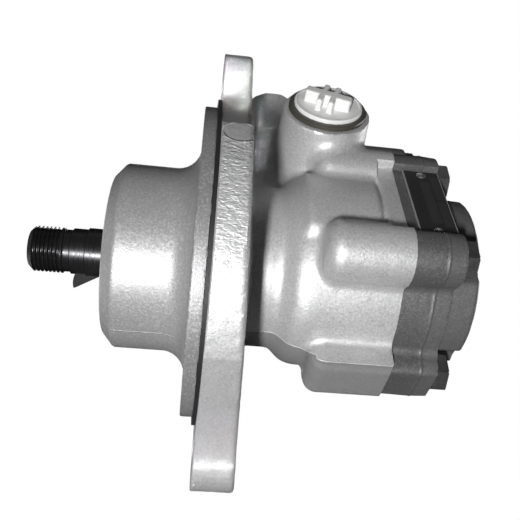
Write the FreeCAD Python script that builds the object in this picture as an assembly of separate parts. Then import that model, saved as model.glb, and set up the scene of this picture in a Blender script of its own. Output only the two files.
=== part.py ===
import FreeCAD, Part
import math
import os
from FreeCAD import Vector

# Vane-type power steering pump with a two-ear mounting flange.
# Frame: X runs along the shaft, from the drive end (-X) to the rear cover (+X), and Z along the flange's ears.
# The origin is on the shaft axis, in the flange's mounting face. All sizes are millimetres.
# Clock angles are read in the YZ plane, from -Y towards +Z.

X_AXIS = Vector(1, 0, 0)

# General clearances and seats
running_gap = 0.05          # radial gap of a shaft, ball or spool that moves
side_gap = 0.05             # end gap of the rotor between its plates
fit_gap = 0.03              # radial gap of a piece pressed or located in a bore
loose_gap = 0.3             # gap of pieces that only pass each other

# Mounting flange
flange_thickness = 14.3     # at the shaft axis
flange_taper_deg = 1.55     # the upper ear is thinner than the lower one
flange_side_drop_deg = 2.9  # the rear face falls away to both sides
flange_rim_radius = 66.0
rim_corner_z = 38.5         # where the round rim breaks into the ear flanks
upper_flank_drop = 28.0     # from the ear's tip down to where the flank meets the ear's side
lower_flank_drop = 16.0
ear_half_width = 14.5
ear_end_margin = 14.0       # from the bolt hole's centre to the ear's tip
ear_bolt_spacing = 146.0
ear_bolt_hole_radius = 6.5
flange_edge_radius = 1.6

# Pilot and its sealing ring
pilot_radius = 60.0
pilot_front_x = -6.0
pilot_chamfer = 0.8
seal_width = 1.4            # gap between the pilot and the flange, filled by the ring
seal_outer_radius = 63.0
seal_ring_depth = 6.5
seal_groove_radius = seal_outer_radius - seal_ring_depth

# Front hub
hub_radius = 35.8
hub_edge_x = -33.4          # where the hub's chamfer begins
hub_chamfer_length = 4.3
hub_face_radius = 30.8
hub_fillet = 9.0

# Rear body
neck_radius = 31.7
neck_end_x = 26.2
shoulder_x = 30.8
shoulder_radius = 36.4
barrel_radius = 37.7
barrel_start_x = 35.0
split_x = 68.3              # joint between the housing and the rear cover
lobe_count = 5
lobe_phase_deg = 2.4
lobe_centre_radius = 39.5
lobe_radius = 11.0
lobe_front_x = 38.2
lobe_nose_radius = 7.0      # rounding of a bolt lobe's front end
lobe_blend = 3.0
neck_fillet = 4.0
shoulder_fillet = 6.0

# Flat pad that carries the data plate
facet_distance = 38.6
facet_half_width = 20.0
facet_front_x = 61.5

# Rear cover
cover_lobe_radius = 10.2
cover_radius = 37.4
cover_seat_x = 86.5         # seat of the cover bolts
parting_x = 80.0
parting_lip = 0.35
parting_lip_width = 0.8
boss_radius = 34.0
boss_end_x = 98.0
boss_flat_distance = 31.7
boss_flat_angle_deg = -94.0
boss_chamfer = 1.8

# Suction port and its transport cap
suction_x = 42.1
suction_side = 41.0         # the port's axis passes this far above the shaft axis
suction_radius = 17.3
suction_draft_deg = 3.5
suction_face_distance = 48.3
suction_root_distance = 20.0
suction_bore_radius = 13.0
suction_bore_floor = 38.0
suction_pipe_radius = 5.0
suction_pipe_end_x = 46.0
suction_pipe_turn_deg = 63.6
ring_outer_radius = 15.5
ring_height = 3.1
ring_sleeve_radius = 14.2
ring_sleeve_depth = 4.0
cap_radius = 13.7
cap_rim_height = 1.6
cap_stem_length = 8.0
cap_stem_wall = 1.4
cap_rib_height = 6.0
cap_long_rib_width = 4.4
cap_cross_rib_width = 6.0
cap_rib_reach = 10.4

# Flow-control valve gallery, beside the cover, and the pressure port on it
gallery_distance = 52.2
gallery_radius = 12.0
gallery_start_x = 8.0
gallery_end_x = 82.0
gallery_web_half_width = 8.0
gallery_web_depth = 4.0
valve_bore_radius = 8.0
valve_passage_radius = 6.4
valve_passage_start_x = 18.0
valve_stop_x = 32.0
pressure_x = 23.5
pressure_radius = 11.0
pressure_face_distance = 83.5
pressure_bore_radius = 7.3
pressure_bore_depth = 20.0
pressure_passage_radius = 4.0
pressure_spot_radius = 9.3
pressure_spot_depth = 0.8
spool_length = 23.0
spool_land_length = 7.0
spool_waist_radius = 5.2
spool_nose_radius = 3.6
spool_nose_length = 2.5
spring_wire_radius = 0.8
spring_mean_radius = 5.4
spring_turns = 4
plug_thread_length = 12.0
plug_head_height = 4.2
plug_head_radius = 10.6
plug_hex_flats = 10.0
plug_hex_depth = 3.0
plug_ring_wire = 0.7
plug_groove_width = 1.8
plug_groove_offset = 2.0

# Drive shaft
thread_radius = 8.9
shaft_tip_x = -68.4
tip_chamfer = 2.0
thread_end_x = -55.6
relief_length = 3.2
relief_radius = 8.2
shank_radius = 8.9
journal_radius = 9.5
journal_x = -47.0
bearing_seat_radius = 10.0
shoulder_outer_radius = 12.5
shoulder_length = 3.0
core_radius = 8.5
shaft_end_x = 79.5
centre_hole_radius = 1.6
centre_hole_depth = 4.0

# Woodruff key, tipped in its seat
key_disc_radius = 8.0
key_height = 6.5
key_width = 5.0
key_centre_distance = 11.7
key_centre_x = -43.2
key_tip_deg = 29.0
key_clock_deg = -99.0
key_gap = 0.05

# Front bearing, its ring clip and the shaft seal
front_bore_radius = 23.5
bearing_width = 14.0
bearing_front_x = -23.5
ball_count = 8
ball_radius = 3.95
ball_circle_radius = 16.75
inner_ring_radius = 13.4
outer_ring_radius = 20.1
cage_half_width = 4.9
cage_half_wall = 0.9
clip_width = 1.8
clip_inner_radius = 20.6
clip_groove_depth = 1.2
clip_gap_deg = 34.0
clip_lug_radius = 2.6
clip_lug_hole_radius = 1.1
shaft_seal_width = 7.0
seal_case_wall = 1.2
seal_web_radius = 14.5
seal_lip_length = 5.0
seal_lip_wall = 1.6

# Pumping group
chamber_radius = 31.0
plate_thickness = 8.0
cam_width = 20.0
cam_minor_radius = 22.6
cam_rise = 2.2
cam_points = 36
rotor_radius = 22.2
vane_count = 10
vane_thickness = 2.0
vane_length = 8.6
vane_tip_gap = 0.3          # vanes drawn in, clear of the cam's short axis
slot_depth = 9.4
slot_root_radius = 1.6
front_plate_gap = 4.0
dowel_radius = 2.5
dowel_circle_radius = 28.0
dowel_plate_depth = 2.5
dowel_cover_depth = 6.0
port_slot_radius = 20.0
port_slot_half_width = 2.0
port_slot_half_deg = 24.0
bush_outer_radius = 11.0
bush_length = 12.0
bush_floor_gap = 1.5
plate_ring_wire = 1.3
plate_ring_offset = 3.0
cover_ring_wire = 1.0
cover_ring_radius = 33.3

# Cover bolts, data plate and rivets
bolt_radius = 4.0
bolt_hole_radius = 4.5
bolt_grip = 22.0
bolt_hole_reserve = 3.0
bolt_spot_radius = 8.8
bolt_head_flats = 13.0
bolt_head_height = 5.2
bolt_head_chamfer = 0.7
plate_length = 39.0
plate_width = 14.0
data_plate_height = 0.8
plate_start_x = 72.0
rivet_head_radius = 1.9
rivet_head_height = 0.9
rivet_radius = 1.0
rivet_depth = 3.0
rivet_end_distance = 2.8


def clock(angle_deg, radius, x=0.0):
    """Point at a clock angle and a distance from the shaft axis."""
    angle = math.radians(angle_deg)
    return Vector(x, -radius * math.cos(angle), radius * math.sin(angle))


def rod(radius, x_from, x_to, centre=Vector(0, 0, 0)):
    """Round bar along X."""
    return Part.makeCylinder(radius, x_to - x_from, Vector(x_from, centre.y, centre.z), X_AXIS)


def radial_rod(radius, angle_deg, x, from_distance, to_distance):
    """Round bar that points away from the shaft axis."""
    length = to_distance - from_distance
    return Part.makeCylinder(radius, length, clock(angle_deg, from_distance, x), clock(angle_deg, 1))


def rod_between(radius, start, end):
    return Part.makeCylinder(radius, (end - start).Length, start, end - start)


def radial_block(angle_deg, half_width, from_distance, to_distance, x_from, x_to):
    """Block whose outer face is square to a clock angle."""
    block = Part.makeBox(x_to - x_from, 2 * half_width, to_distance - from_distance)
    block.translate(Vector(x_from, -half_width, from_distance))
    block.rotate(Vector(0, 0, 0), X_AXIS, 90 - angle_deg)
    return block


def turned(points):
    """Body of revolution about the shaft axis, from (x, radius) points."""
    outline = [clock(gallery_angle, r, x) for x, r in points]
    face = Part.Face(Part.makePolygon(outline + outline[:1]))
    return face.revolve(Vector(0, 0, 0), X_AXIS, 360)


def sleeve(inner_radius, outer_radius, x_from, x_to, centre=Vector(0, 0, 0)):
    return rod(outer_radius, x_from, x_to, centre).cut(rod(inner_radius, x_from - 1, x_to + 1, centre))


def ring_seal(mean_radius, wire_radius, x, centre=Vector(0, 0, 0)):
    return Part.makeTorus(mean_radius, wire_radius, Vector(x, centre.y, centre.z), X_AXIS)


def hexagon(flats, x_from, x_to, centre=Vector(0, 0, 0)):
    """Six-sided prism along X."""
    corner = flats / math.sqrt(3)
    points = []
    for i in range(7):
        turn = math.radians(60 * i)
        points.append(Vector(x_from, centre.y + corner * math.cos(turn), centre.z + corner * math.sin(turn)))
    return Part.Face(Part.makePolygon(points)).extrude(X_AXIS * (x_to - x_from))


def fused(shapes):
    return shapes[0].fuse(shapes[1:]).removeSplitter()


def edges_where(shape, test):
    return [edge for edge in shape.Edges if not edge.Degenerated and test(edge)]


def rim_at(radius, x):
    """Test for a full round edge about the shaft axis."""
    def test(edge):
        round_edge = isinstance(edge.Curve, Part.Circle)
        return round_edge and abs(edge.Curve.Radius - radius) < 0.01 and abs(edge.CenterOfMass.x - x) < 0.01
    return test


def lines(points):
    return [Part.makeLine(a, b) for a, b in zip(points, points[1:])]


lobe_angles = [lobe_phase_deg + 360.0 / lobe_count * i for i in range(lobe_count)]
lobe_centres = [clock(angle, lobe_centre_radius) for angle in lobe_angles]
suction_angle = lobe_phase_deg + 180.0 / lobe_count
gallery_angle = suction_angle + 360.0 / lobe_count
gallery_centre = clock(gallery_angle, gallery_distance)
suction_shift = clock(suction_angle + 90, -suction_side) * -1
ear_reach = ear_bolt_spacing / 2 + ear_end_margin
hub_face_x = hub_edge_x - hub_chamfer_length
bearing_rear_x = bearing_front_x + bearing_width
clip_x = bearing_front_x - clip_width
shaft_seal_x = clip_x - loose_gap - shaft_seal_width
rear_plate_x = split_x - plate_thickness
cam_x = rear_plate_x - cam_width
front_plate_x = cam_x - plate_thickness
chamber_floor_x = front_plate_x - front_plate_gap
bush_x = split_x + loose_gap
bush_bore_end_x = bush_x + bush_length + bush_floor_gap
plate_radius = chamber_radius - fit_gap
plate_groove_x = front_plate_x + plate_ring_offset
plate_groove_half = plate_ring_wire + fit_gap
spool_start_x = valve_stop_x + running_gap
plug_inner_x = gallery_end_x - plug_thread_length


def flange_outline():
    """Two-ear outline: round rim, slanted flanks, straight ear sides and round ends."""
    rim_y = math.sqrt(flange_rim_radius ** 2 - rim_corner_z ** 2)
    end_z = ear_reach - ear_half_width
    near_top = [
        Vector(0, -rim_y, rim_corner_z), Vector(0, -ear_half_width, ear_reach - upper_flank_drop),
        Vector(0, -ear_half_width, end_z),
    ]
    near_bottom = [
        Vector(0, -ear_half_width, -end_z), Vector(0, -ear_half_width, lower_flank_drop - ear_reach),
        Vector(0, -rim_y, -rim_corner_z),
    ]
    far_top = [Vector(p.x, -p.y, p.z) for p in reversed(near_top)]
    far_bottom = [Vector(p.x, -p.y, p.z) for p in reversed(near_bottom)]
    edges = lines(near_top)
    edges.append(Part.Arc(near_top[-1], Vector(0, 0, ear_reach), far_top[0]).toShape())
    edges += lines(far_top)
    edges.append(Part.Arc(far_top[-1], Vector(0, flange_rim_radius, 0), far_bottom[0]).toShape())
    edges += lines(far_bottom)
    edges.append(Part.Arc(far_bottom[-1], Vector(0, 0, -ear_reach), near_bottom[0]).toShape())
    edges += lines(near_bottom)
    edges.append(Part.Arc(near_bottom[-1], Vector(0, -flange_rim_radius, 0), near_top[0]).toShape())
    return Part.Wire(edges)


def flange():
    """Flange whose rear face leans along the ears and falls away to both sides like a low roof."""
    reach = 2 * ear_reach
    ears = Part.Face(flange_outline()).extrude(X_AXIS * 2 * flange_thickness)
    for side in (1, -1):
        behind = Part.makeBox(reach, 2 * reach, 2 * reach, Vector(0, -reach, -reach))
        behind.rotate(Vector(0, 0, 0), Vector(0, 0, 1), side * flange_side_drop_deg)
        behind.rotate(Vector(0, 0, 0), Vector(0, 1, 0), -flange_taper_deg)
        ears = ears.cut(behind.translated(X_AXIS * flange_thickness))
    rear_edges = edges_where(ears, lambda edge: edge.BoundBox.XMin > flange_thickness / 2
                             and max(abs(edge.BoundBox.YMin), abs(edge.BoundBox.YMax)) > loose_gap)
    return ears.makeFillet(flange_edge_radius, rear_edges)


def main_profile():
    """Hub nose, pilot, neck, shoulder and barrel as one outline."""
    mid_flange = flange_thickness / 2
    return [
        (hub_face_x, 0), (hub_face_x, hub_face_radius), (hub_edge_x, hub_radius),
        (pilot_front_x, hub_radius), (pilot_front_x, pilot_radius - pilot_chamfer),
        (pilot_front_x + pilot_chamfer, pilot_radius), (-seal_width, pilot_radius),
        (-seal_width, seal_groove_radius), (mid_flange, seal_groove_radius),
        (mid_flange, neck_radius), (neck_end_x, neck_radius), (shoulder_x, shoulder_radius),
        (barrel_start_x, barrel_radius), (split_x, barrel_radius), (split_x, 0),
    ]


def bolt_lobe(centre):
    """Boss for one cover bolt, with a rounded front end."""
    lobe = rod(lobe_radius, lobe_front_x, split_x, centre)
    return lobe.makeFillet(lobe_nose_radius, edges_where(lobe, lambda edge: edge.BoundBox.XMax < split_x - 1))


def on_barrel(edge):
    """Test for the seam between a bolt lobe and the barrel."""
    box = edge.BoundBox
    if box.XMin < barrel_start_x + loose_gap or box.XMin > split_x - loose_gap:
        return False
    points = edge.discretize(9)
    return all(abs(math.hypot(p.y, p.z) - barrel_radius) < 0.05 for p in points)


def main_casting():
    casting = fused([turned(main_profile())] + [bolt_lobe(centre) for centre in lobe_centres])
    casting = casting.makeFillet(lobe_blend, edges_where(casting, on_barrel))
    casting = casting.makeFillet(hub_fillet, edges_where(casting, rim_at(hub_radius, pilot_front_x)))
    casting = casting.makeFillet(neck_fillet, edges_where(casting, rim_at(neck_radius, neck_end_x)))
    return casting.makeFillet(shoulder_fillet, edges_where(casting, rim_at(shoulder_radius, shoulder_x)))


def suction_rod(radius, from_distance, to_distance):
    """Round bar on the suction port's axis."""
    return radial_rod(radius, suction_angle, suction_x, from_distance, to_distance).translated(suction_shift)


def suction_boss():
    """Drafted round boss that stands on the upper lobe and the valve gallery."""
    height = suction_face_distance - suction_root_distance
    foot = clock(suction_angle, suction_root_distance, suction_x) + suction_shift
    foot_radius = suction_radius + height * math.tan(math.radians(suction_draft_deg))
    return Part.makeCone(foot_radius, suction_radius, height, foot, clock(suction_angle, 1))


def gallery():
    """Bar that holds the flow-control valve, its web and the pressure port boss."""
    bar = rod(gallery_radius, gallery_start_x, gallery_end_x, gallery_centre)
    web = radial_block(gallery_angle, gallery_web_half_width, neck_radius - gallery_web_depth, gallery_distance,
                       gallery_start_x, split_x)
    port = radial_rod(pressure_radius, gallery_angle, pressure_x, gallery_distance, pressure_face_distance)
    return fused([bar, web, port])


def shaft_bores():
    """Seats for the shaft seal, clip and bearing, then the pump chamber."""
    return [
        rod(front_bore_radius, hub_face_x - 1, bearing_rear_x),
        rod(front_bore_radius + clip_groove_depth, clip_x, clip_x + clip_width),
        rod(shoulder_outer_radius + loose_gap, bearing_rear_x - 1, bearing_rear_x + shoulder_length + loose_gap),
        rod(core_radius + loose_gap, bearing_rear_x, chamber_floor_x + 1),
        rod(chamber_radius, chamber_floor_x, split_x + 1),
    ]


def bolt_bores():
    ear_z = ear_bolt_spacing / 2
    cuts = [rod(ear_bolt_hole_radius, -1, 2 * flange_thickness, Vector(0, 0, z)) for z in (ear_z, -ear_z)]
    floor_x = split_x - bolt_grip - bolt_hole_reserve
    cuts += [rod(bolt_radius + fit_gap, floor_x, split_x + 1, centre) for centre in lobe_centres]
    groove_depth = 2 * (cover_ring_wire + fit_gap)
    cuts.append(sleeve(cover_ring_radius - cover_ring_wire - fit_gap, cover_ring_radius + cover_ring_wire + fit_gap,
                       split_x - groove_depth, split_x + 1))
    return cuts


def port_bores():
    """Suction port, valve gallery and pressure port."""
    face = suction_face_distance
    pipe_start = clock(suction_angle, suction_bore_floor + 1, suction_x) + suction_shift
    pipe_end = clock(suction_angle + suction_pipe_turn_deg, chamber_radius - 1, suction_pipe_end_x)
    pressure_floor = pressure_face_distance - pressure_spot_depth - pressure_bore_depth
    return [
        suction_rod(suction_bore_radius, suction_bore_floor, face + 1),
        suction_rod(ring_sleeve_radius + fit_gap, face - ring_sleeve_depth, face + 1),
        rod_between(suction_pipe_radius, pipe_start, pipe_end),
        rod(valve_passage_radius, valve_passage_start_x, valve_stop_x + 1, gallery_centre),
        rod(valve_bore_radius, valve_stop_x, gallery_end_x + 1, gallery_centre),
        radial_rod(pressure_passage_radius, gallery_angle, pressure_x, gallery_distance, pressure_floor + 1),
        radial_rod(pressure_bore_radius, gallery_angle, pressure_x, pressure_floor, pressure_face_distance + 1),
        radial_rod(pressure_spot_radius, gallery_angle, pressure_x,
                   pressure_face_distance - pressure_spot_depth, pressure_face_distance + 1),
    ]


def housing():
    facet = radial_block(suction_angle, facet_half_width, barrel_radius / 2, facet_distance, facet_front_x, split_x)
    barrel = fused([main_casting(), facet]).cut(air_over_facet(facet_front_x, split_x + 1))
    rear_body = fused([fused([barrel, gallery()]), suction_boss()])
    return fused([rear_body, flange()]).cut(shaft_bores() + bolt_bores() + port_bores())


def flange_seal():
    return sleeve(seal_groove_radius + fit_gap, seal_outer_radius, -seal_width, 0)


def air_over_facet(x_from, x_to):
    return radial_block(suction_angle, facet_half_width, facet_distance, 2 * facet_distance, x_from, x_to)


def cover_block(radius, lobe_r, x_from, x_to):
    lobes = [rod(lobe_r, x_from, x_to, centre) for centre in lobe_centres]
    facet = radial_block(suction_angle, facet_half_width, radius / 2, facet_distance, x_from, x_to)
    return fused([rod(radius, x_from, x_to), facet] + lobes)


def rear_cover():
    """One iron casting: lobed plate with a parting lip, and a round rear boss cut away at the bolts."""
    plate = cover_block(cover_radius, cover_lobe_radius, split_x, cover_seat_x)
    lip_x = parting_x - parting_lip_width / 2
    lip = cover_block(cover_radius + parting_lip, cover_lobe_radius + parting_lip, lip_x, lip_x + parting_lip_width)
    boss = rod(boss_radius, cover_seat_x - 1, boss_end_x)
    boss = boss.makeChamfer(boss_chamfer, edges_where(boss, rim_at(boss_radius, boss_end_x)))
    flat = radial_block(boss_flat_angle_deg, boss_radius, boss_flat_distance, 2 * boss_radius,
                        cover_seat_x, boss_end_x + 1)
    spots = [rod(bolt_spot_radius, cover_seat_x, boss_end_x + 1, centre) for centre in lobe_centres]
    cover = fused([plate, lip, boss.cut([flat] + spots)]).cut(air_over_facet(split_x - 1, cover_seat_x + 1))
    cuts = [rod(bolt_hole_radius, split_x - 1, cover_seat_x + 1, centre) for centre in lobe_centres]
    cuts.append(rod(bush_outer_radius + fit_gap, split_x - 1, bush_bore_end_x))
    cuts += [rod(dowel_radius + fit_gap, split_x - 1, split_x + dowel_cover_depth, c) for c in dowel_centres()]
    cuts += [radial_rod(rivet_radius + fit_gap, suction_angle, x, facet_distance - rivet_depth,
                        facet_distance + 1).translated(shift) for x, shift in rivet_places()]
    return cover.cut(cuts)


def cover_bolts():
    bolts = []
    for centre in lobe_centres:
        head = hexagon(bolt_head_flats, cover_seat_x, cover_seat_x + bolt_head_height, centre)
        crown = Part.makeCone(bolt_head_flats, bolt_head_flats / 2, bolt_head_flats / 2,
                              Vector(cover_seat_x + bolt_head_height - bolt_head_flats / 2 + bolt_head_chamfer,
                                     centre.y, centre.z), X_AXIS)
        shank = rod(bolt_radius, split_x - bolt_grip, cover_seat_x, centre)
        bolts.append(head.common(crown).fuse(shank))
    return Part.makeCompound(bolts)


def rivet_places():
    """Each rivet's X and its shift along the data plate."""
    angle = math.radians(suction_angle)
    along = Vector(0, math.sin(angle), math.cos(angle))
    reach = plate_length / 2 - rivet_end_distance
    x = plate_start_x + plate_width / 2
    return [(x, along * reach), (x, along * -reach)]


def data_plate():
    plate = radial_block(suction_angle, plate_length / 2, facet_distance, facet_distance + data_plate_height,
                         plate_start_x, plate_start_x + plate_width)
    holes = [radial_rod(rivet_radius + fit_gap, suction_angle, x, facet_distance - 1,
                        facet_distance + 2).translated(shift) for x, shift in rivet_places()]
    return plate.cut(holes)


def plate_rivets():
    rivets = []
    seat = facet_distance + data_plate_height
    dome_radius = (rivet_head_radius ** 2 + rivet_head_height ** 2) / (2 * rivet_head_height)
    for x, shift in rivet_places():
        shank = radial_rod(rivet_radius, suction_angle, x, facet_distance - rivet_depth, seat)
        ball = Part.makeSphere(dome_radius, clock(suction_angle, seat + rivet_head_height - dome_radius, x))
        head = ball.common(radial_rod(rivet_head_radius, suction_angle, x, seat, seat + rivet_head_height))
        rivets.append(shank.fuse(head).translated(shift))
    return Part.makeCompound(rivets)


def suction_ring():
    face = suction_face_distance
    collar = suction_rod(ring_outer_radius, face, face + ring_height)
    tube = suction_rod(ring_sleeve_radius, face - ring_sleeve_depth, face)
    bore = suction_rod(suction_bore_radius, face - 2 * ring_sleeve_depth, face + ring_height + 1)
    return fused([collar, tube]).cut(bore)


def port_cap():
    """Transport cap: thin rim, hollow stem and a raised cross to pull it by."""
    seat = suction_face_distance + ring_height
    top = seat + cap_rim_height
    stem_radius = suction_bore_radius - loose_gap
    rim = suction_rod(cap_radius, seat, top)
    stem = suction_rod(stem_radius, seat - cap_stem_length, seat)
    hollow = suction_rod(stem_radius - cap_stem_wall, seat - cap_stem_length - 1, seat)
    long_rib = radial_block(suction_angle, cap_long_rib_width / 2, top, top + cap_rib_height,
                            suction_x - cap_rib_reach, suction_x + cap_rib_reach)
    cross_rib = radial_block(suction_angle, cap_rib_reach, top, top + cap_rib_height,
                             suction_x - cap_cross_rib_width / 2, suction_x + cap_cross_rib_width / 2)
    ribs = [rib.translated(suction_shift) for rib in (long_rib, cross_rib)]
    return fused([rim, stem.cut(hollow)] + ribs)


def drive_shaft():
    thread_start = shaft_tip_x + tip_chamfer
    relief_end = thread_end_x + relief_length
    seat_start = clip_x + clip_width / 2
    shoulder_end = bearing_rear_x + shoulder_length
    blank = turned([
        (shaft_tip_x, 0), (shaft_tip_x, thread_radius - tip_chamfer), (thread_start, thread_radius),
        (thread_end_x, thread_radius), (thread_end_x, relief_radius), (relief_end, relief_radius),
        (relief_end, shank_radius), (journal_x, shank_radius), (journal_x, journal_radius),
        (seat_start, journal_radius), (seat_start, bearing_seat_radius), (bearing_rear_x, bearing_seat_radius),
        (bearing_rear_x, shoulder_outer_radius), (shoulder_end, shoulder_outer_radius),
        (shoulder_end, core_radius), (shaft_end_x, core_radius), (shaft_end_x, 0),
    ])
    centre_hole = Part.makeCone(centre_hole_radius * 2, centre_hole_radius, centre_hole_depth,
                                Vector(shaft_tip_x, 0, 0), X_AXIS)
    return blank.cut([centre_hole, key_disc(key_disc_radius + key_gap, key_width / 2 + key_gap)])


def key_disc(radius, half_width):
    """Round disc that lies in the plane of the shaft axis and the key's clock angle."""
    centre = clock(key_clock_deg, key_centre_distance, key_centre_x)
    side = clock(key_clock_deg + 90, 1)
    return Part.makeCylinder(radius, 2 * half_width, centre - side * half_width, side)


def woodruff_key():
    """Half-moon key, tipped in its seat so that the drive-side end stands out."""
    centre = clock(key_clock_deg, key_centre_distance, key_centre_x)
    flat_offset = key_disc_radius - key_height
    air = radial_block(key_clock_deg, key_width, key_centre_distance - flat_offset,
                       key_centre_distance + 2 * key_disc_radius,
                       key_centre_x - 2 * key_disc_radius, key_centre_x + 2 * key_disc_radius)
    air.rotate(centre, clock(key_clock_deg + 90, 1), key_tip_deg)
    return key_disc(key_disc_radius, key_width / 2).cut(air)


def bearing_centre_x():
    return bearing_front_x + bearing_width / 2


def race_groove():
    return Part.makeTorus(ball_circle_radius, ball_radius + running_gap, Vector(bearing_centre_x(), 0, 0), X_AXIS)


def bearing_inner_ring():
    ring = sleeve(bearing_seat_radius + fit_gap, inner_ring_radius, bearing_front_x, bearing_rear_x)
    return ring.cut(race_groove())


def bearing_outer_ring():
    ring = sleeve(outer_ring_radius, front_bore_radius - fit_gap, bearing_front_x, bearing_rear_x)
    return ring.cut(race_groove())


def ball_centres():
    return [clock(360.0 / ball_count * i, ball_circle_radius, bearing_centre_x()) for i in range(ball_count)]


def bearing_balls():
    return Part.makeCompound([Part.makeSphere(ball_radius, centre) for centre in ball_centres()])


def bearing_cage():
    ring = sleeve(ball_circle_radius - cage_half_wall, ball_circle_radius + cage_half_wall,
                  bearing_centre_x() - cage_half_width, bearing_centre_x() + cage_half_width)
    pockets = [Part.makeSphere(ball_radius + running_gap, centre) for centre in ball_centres()]
    return ring.cut(pockets)


def bearing_clip():
    """Inside ring clip with two lugs at its gap."""
    outer = front_bore_radius + clip_groove_depth - fit_gap
    x_from = clip_x + fit_gap
    x_to = clip_x + clip_width - fit_gap
    ring = sleeve(clip_inner_radius, outer, x_from, x_to)
    gap = radial_block(-90, math.sin(math.radians(clip_gap_deg / 2)) * outer, clip_inner_radius / 2, 2 * outer,
                       x_from - 1, x_to + 1)
    ring = ring.cut(gap)
    lug_distance = clip_inner_radius - clip_lug_radius / 3
    lug_turn = clip_gap_deg / 2 + math.degrees(clip_lug_radius / lug_distance)
    centres = [clock(-90 + turn, lug_distance) for turn in (-lug_turn, lug_turn)]
    clip = fused([ring] + [rod(clip_lug_radius, x_from, x_to, centre) for centre in centres])
    return clip.cut([rod(clip_lug_hole_radius, x_from - 1, x_to + 1, centre) for centre in centres])


def shaft_seal():
    """Metal-backed lip seal: outer case, web and a lip on the shaft."""
    front = shaft_seal_x
    outer = front_bore_radius - fit_gap
    lip = journal_radius + running_gap
    return turned([
        (front, lip + seal_lip_wall), (front, outer), (front + shaft_seal_width, outer),
        (front + shaft_seal_width, outer - seal_case_wall), (front + seal_lip_wall, outer - seal_case_wall),
        (front + seal_lip_wall, seal_web_radius), (front + seal_lip_length, lip + seal_lip_wall),
        (front + seal_lip_length, lip), (front + seal_lip_length - seal_lip_wall, lip),
    ])


def slot_block(half_width, from_distance, to_distance, index, x_from, x_to):
    return radial_block(360.0 / vane_count * index, half_width, from_distance, to_distance, x_from, x_to)


def rotor():
    """Slotted rotor: each slot ends in a round root."""
    x_from = cam_x + side_gap
    x_to = rear_plate_x - side_gap
    root = rotor_radius - slot_depth
    cuts = [rod(core_radius + fit_gap, x_from - 1, x_to + 1)]
    for i in range(vane_count):
        cuts.append(slot_block(vane_thickness / 2 + fit_gap, root, rotor_radius + 1, i, x_from - 1, x_to + 1))
        cuts.append(rod(slot_root_radius, x_from - 1, x_to + 1, clock(360.0 / vane_count * i, root)))
    return rod(rotor_radius, x_from, x_to).cut(cuts)


def vanes():
    tip = cam_minor_radius - vane_tip_gap
    x_from = cam_x + side_gap
    x_to = rear_plate_x - side_gap
    blades = [slot_block(vane_thickness / 2, tip - vane_length, tip, i, x_from, x_to) for i in range(vane_count)]
    return Part.makeCompound(blades)


def dowel_centres():
    """Dowels stand at the cam's short axis, where its wall is thickest."""
    return [clock(angle, dowel_circle_radius) for angle in (0, 180)]


def dowel_holes(x_from, x_to):
    return [rod(dowel_radius + fit_gap, x_from, x_to, centre) for centre in dowel_centres()]


def cam_ring():
    """Ring whose bore swells twice in a turn, which moves the vanes in and out."""
    points = []
    for i in range(cam_points):
        turn = 360.0 / cam_points * i
        reach = cam_minor_radius + cam_rise * (1 - math.cos(math.radians(2 * turn))) / 2
        points.append(clock(turn, reach, cam_x - 1))
    contour = Part.BSplineCurve()
    contour.interpolate(Points=points, PeriodicFlag=True)
    bore = Part.Face(Part.Wire(contour.toShape())).extrude(X_AXIS * (cam_width + 2))
    return rod(plate_radius, cam_x, rear_plate_x).cut([bore] + dowel_holes(cam_x - 1, rear_plate_x + 1))


def kidney_slots(x_from, x_to):
    """Four arched slots, two for suction and two for pressure."""
    inner = port_slot_radius - port_slot_half_width
    outer = port_slot_radius + port_slot_half_width
    slots = []
    for middle in (45, 135, 225, 315):
        start = clock(middle - port_slot_half_deg, 1)
        sweep = 2 * port_slot_half_deg
        profile = Part.makePolygon([
            Vector(x_from, start.y * inner, start.z * inner), Vector(x_from, start.y * outer, start.z * outer),
            Vector(x_to, start.y * outer, start.z * outer), Vector(x_to, start.y * inner, start.z * inner),
            Vector(x_from, start.y * inner, start.z * inner),
        ])
        slots.append(Part.Face(profile).revolve(Vector(0, 0, 0), X_AXIS, -sweep))
    return slots


def front_plate():
    cuts = [rod(core_radius + loose_gap, front_plate_x - 1, cam_x + 1)]
    cuts += kidney_slots(front_plate_x - 1, cam_x + 1)
    cuts += dowel_holes(cam_x - dowel_plate_depth - loose_gap, cam_x + 1)
    groove_floor = chamber_radius - 2 * plate_ring_wire - 2 * fit_gap
    cuts.append(sleeve(groove_floor, chamber_radius + 1, plate_groove_x - plate_groove_half,
                       plate_groove_x + plate_groove_half))
    return rod(plate_radius, front_plate_x, cam_x).cut(cuts)


def rear_plate():
    cuts = [rod(core_radius + loose_gap, rear_plate_x - 1, split_x + 1)]
    cuts += kidney_slots(rear_plate_x - 1, rear_plate_x + plate_thickness / 2)
    cuts += dowel_holes(rear_plate_x - 1, split_x + 1)
    return rod(plate_radius, rear_plate_x, split_x).cut(cuts)


def dowel_pins():
    x_from = cam_x - dowel_plate_depth
    x_to = split_x + dowel_cover_depth - loose_gap
    return Part.makeCompound([rod(dowel_radius, x_from, x_to, centre) for centre in dowel_centres()])


def valve_spool():
    """Two lands, a waist and a stop nose at each end."""
    end_x = spool_start_x + spool_length
    land_radius = valve_bore_radius - running_gap
    waist_from = spool_start_x + spool_land_length
    waist_to = end_x - spool_land_length
    return fused([
        rod(land_radius, spool_start_x, waist_from, gallery_centre),
        rod(spool_waist_radius, waist_from, waist_to, gallery_centre),
        rod(land_radius, waist_to, end_x, gallery_centre),
        rod(spool_nose_radius, spool_start_x - spool_nose_length, spool_start_x, gallery_centre),
        rod(spool_nose_radius, end_x, end_x + spool_nose_length, gallery_centre),
    ])


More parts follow.
